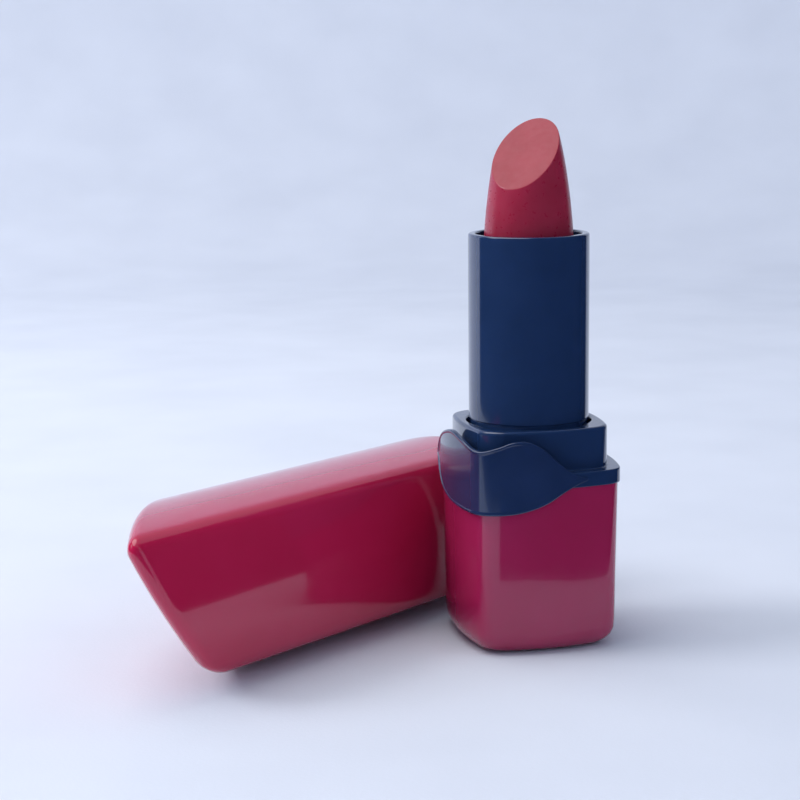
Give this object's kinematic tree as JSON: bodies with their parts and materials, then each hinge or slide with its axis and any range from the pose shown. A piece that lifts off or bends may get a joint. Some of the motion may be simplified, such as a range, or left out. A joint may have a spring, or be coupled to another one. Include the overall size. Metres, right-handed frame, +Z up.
{
  "type": "twist-up lipstick",
  "caption": "Twist-up lipstick in a square bowed case; the tube turns on the base to raise the slant-cut stick; the pull-off cap lies beside it.",
  "frame": {"origin": "centre of the base's underside, where the lipstick stands", "axes": "+Z up along the tube's axis; +X along the lying cap, from its closed end towards its mouth"},
  "size_m": [0.0717, 0.0501, 0.0711],
  "materials": {
    "case_red": "high gloss",
    "collar_black": "high gloss",
    "stick": "waxy satin, matte on the cut face",
    "mechanism": "moulded satin",
    "metal": "turned",
    "drag_ring": "translucent elastomer",
    "inner_black": "moulded satin"
  },
  "bodies": {
    "base": {"base_shell": "case_red", "bottom_disc": "case_red", "base_weight": "metal", "base_core": "mechanism", "fork_tube": "inner_black", "friction_ring": "drag_ring", "collar": "collar_black", "wave_trim": "collar_black"},
    "tube": {"outer_tube": "collar_black", "spiral_cam": "inner_black", "retaining_ring": "metal"},
    "elevator": {"bullet_cup": "inner_black", "lipstick": "stick"},
    "cap": {"cap_shell": "case_red", "cap_liner": "collar_black"}
  },
  "joints": [
    {"name": "twist", "type": "hinge", "parent": "base", "child": "tube", "pos_m": [0, 0, 0.03], "axis": [0, 0, 1], "range_deg": [-315, 54]},
    {"name": "lift", "type": "slide", "parent": "base", "child": "elevator", "axis": [0, 0, 1], "range_m": [-0.01755, 0.00305]},
    {"name": "cap_pull", "type": "slide", "parent": "base", "child": "cap", "axis": [-1, 0, 0], "range_m": [0, 0.045]}
  ],
  "couplings": [
    {"joint": "lift", "follows": "twist", "m_per_rad": 0.0031831}
  ]
}
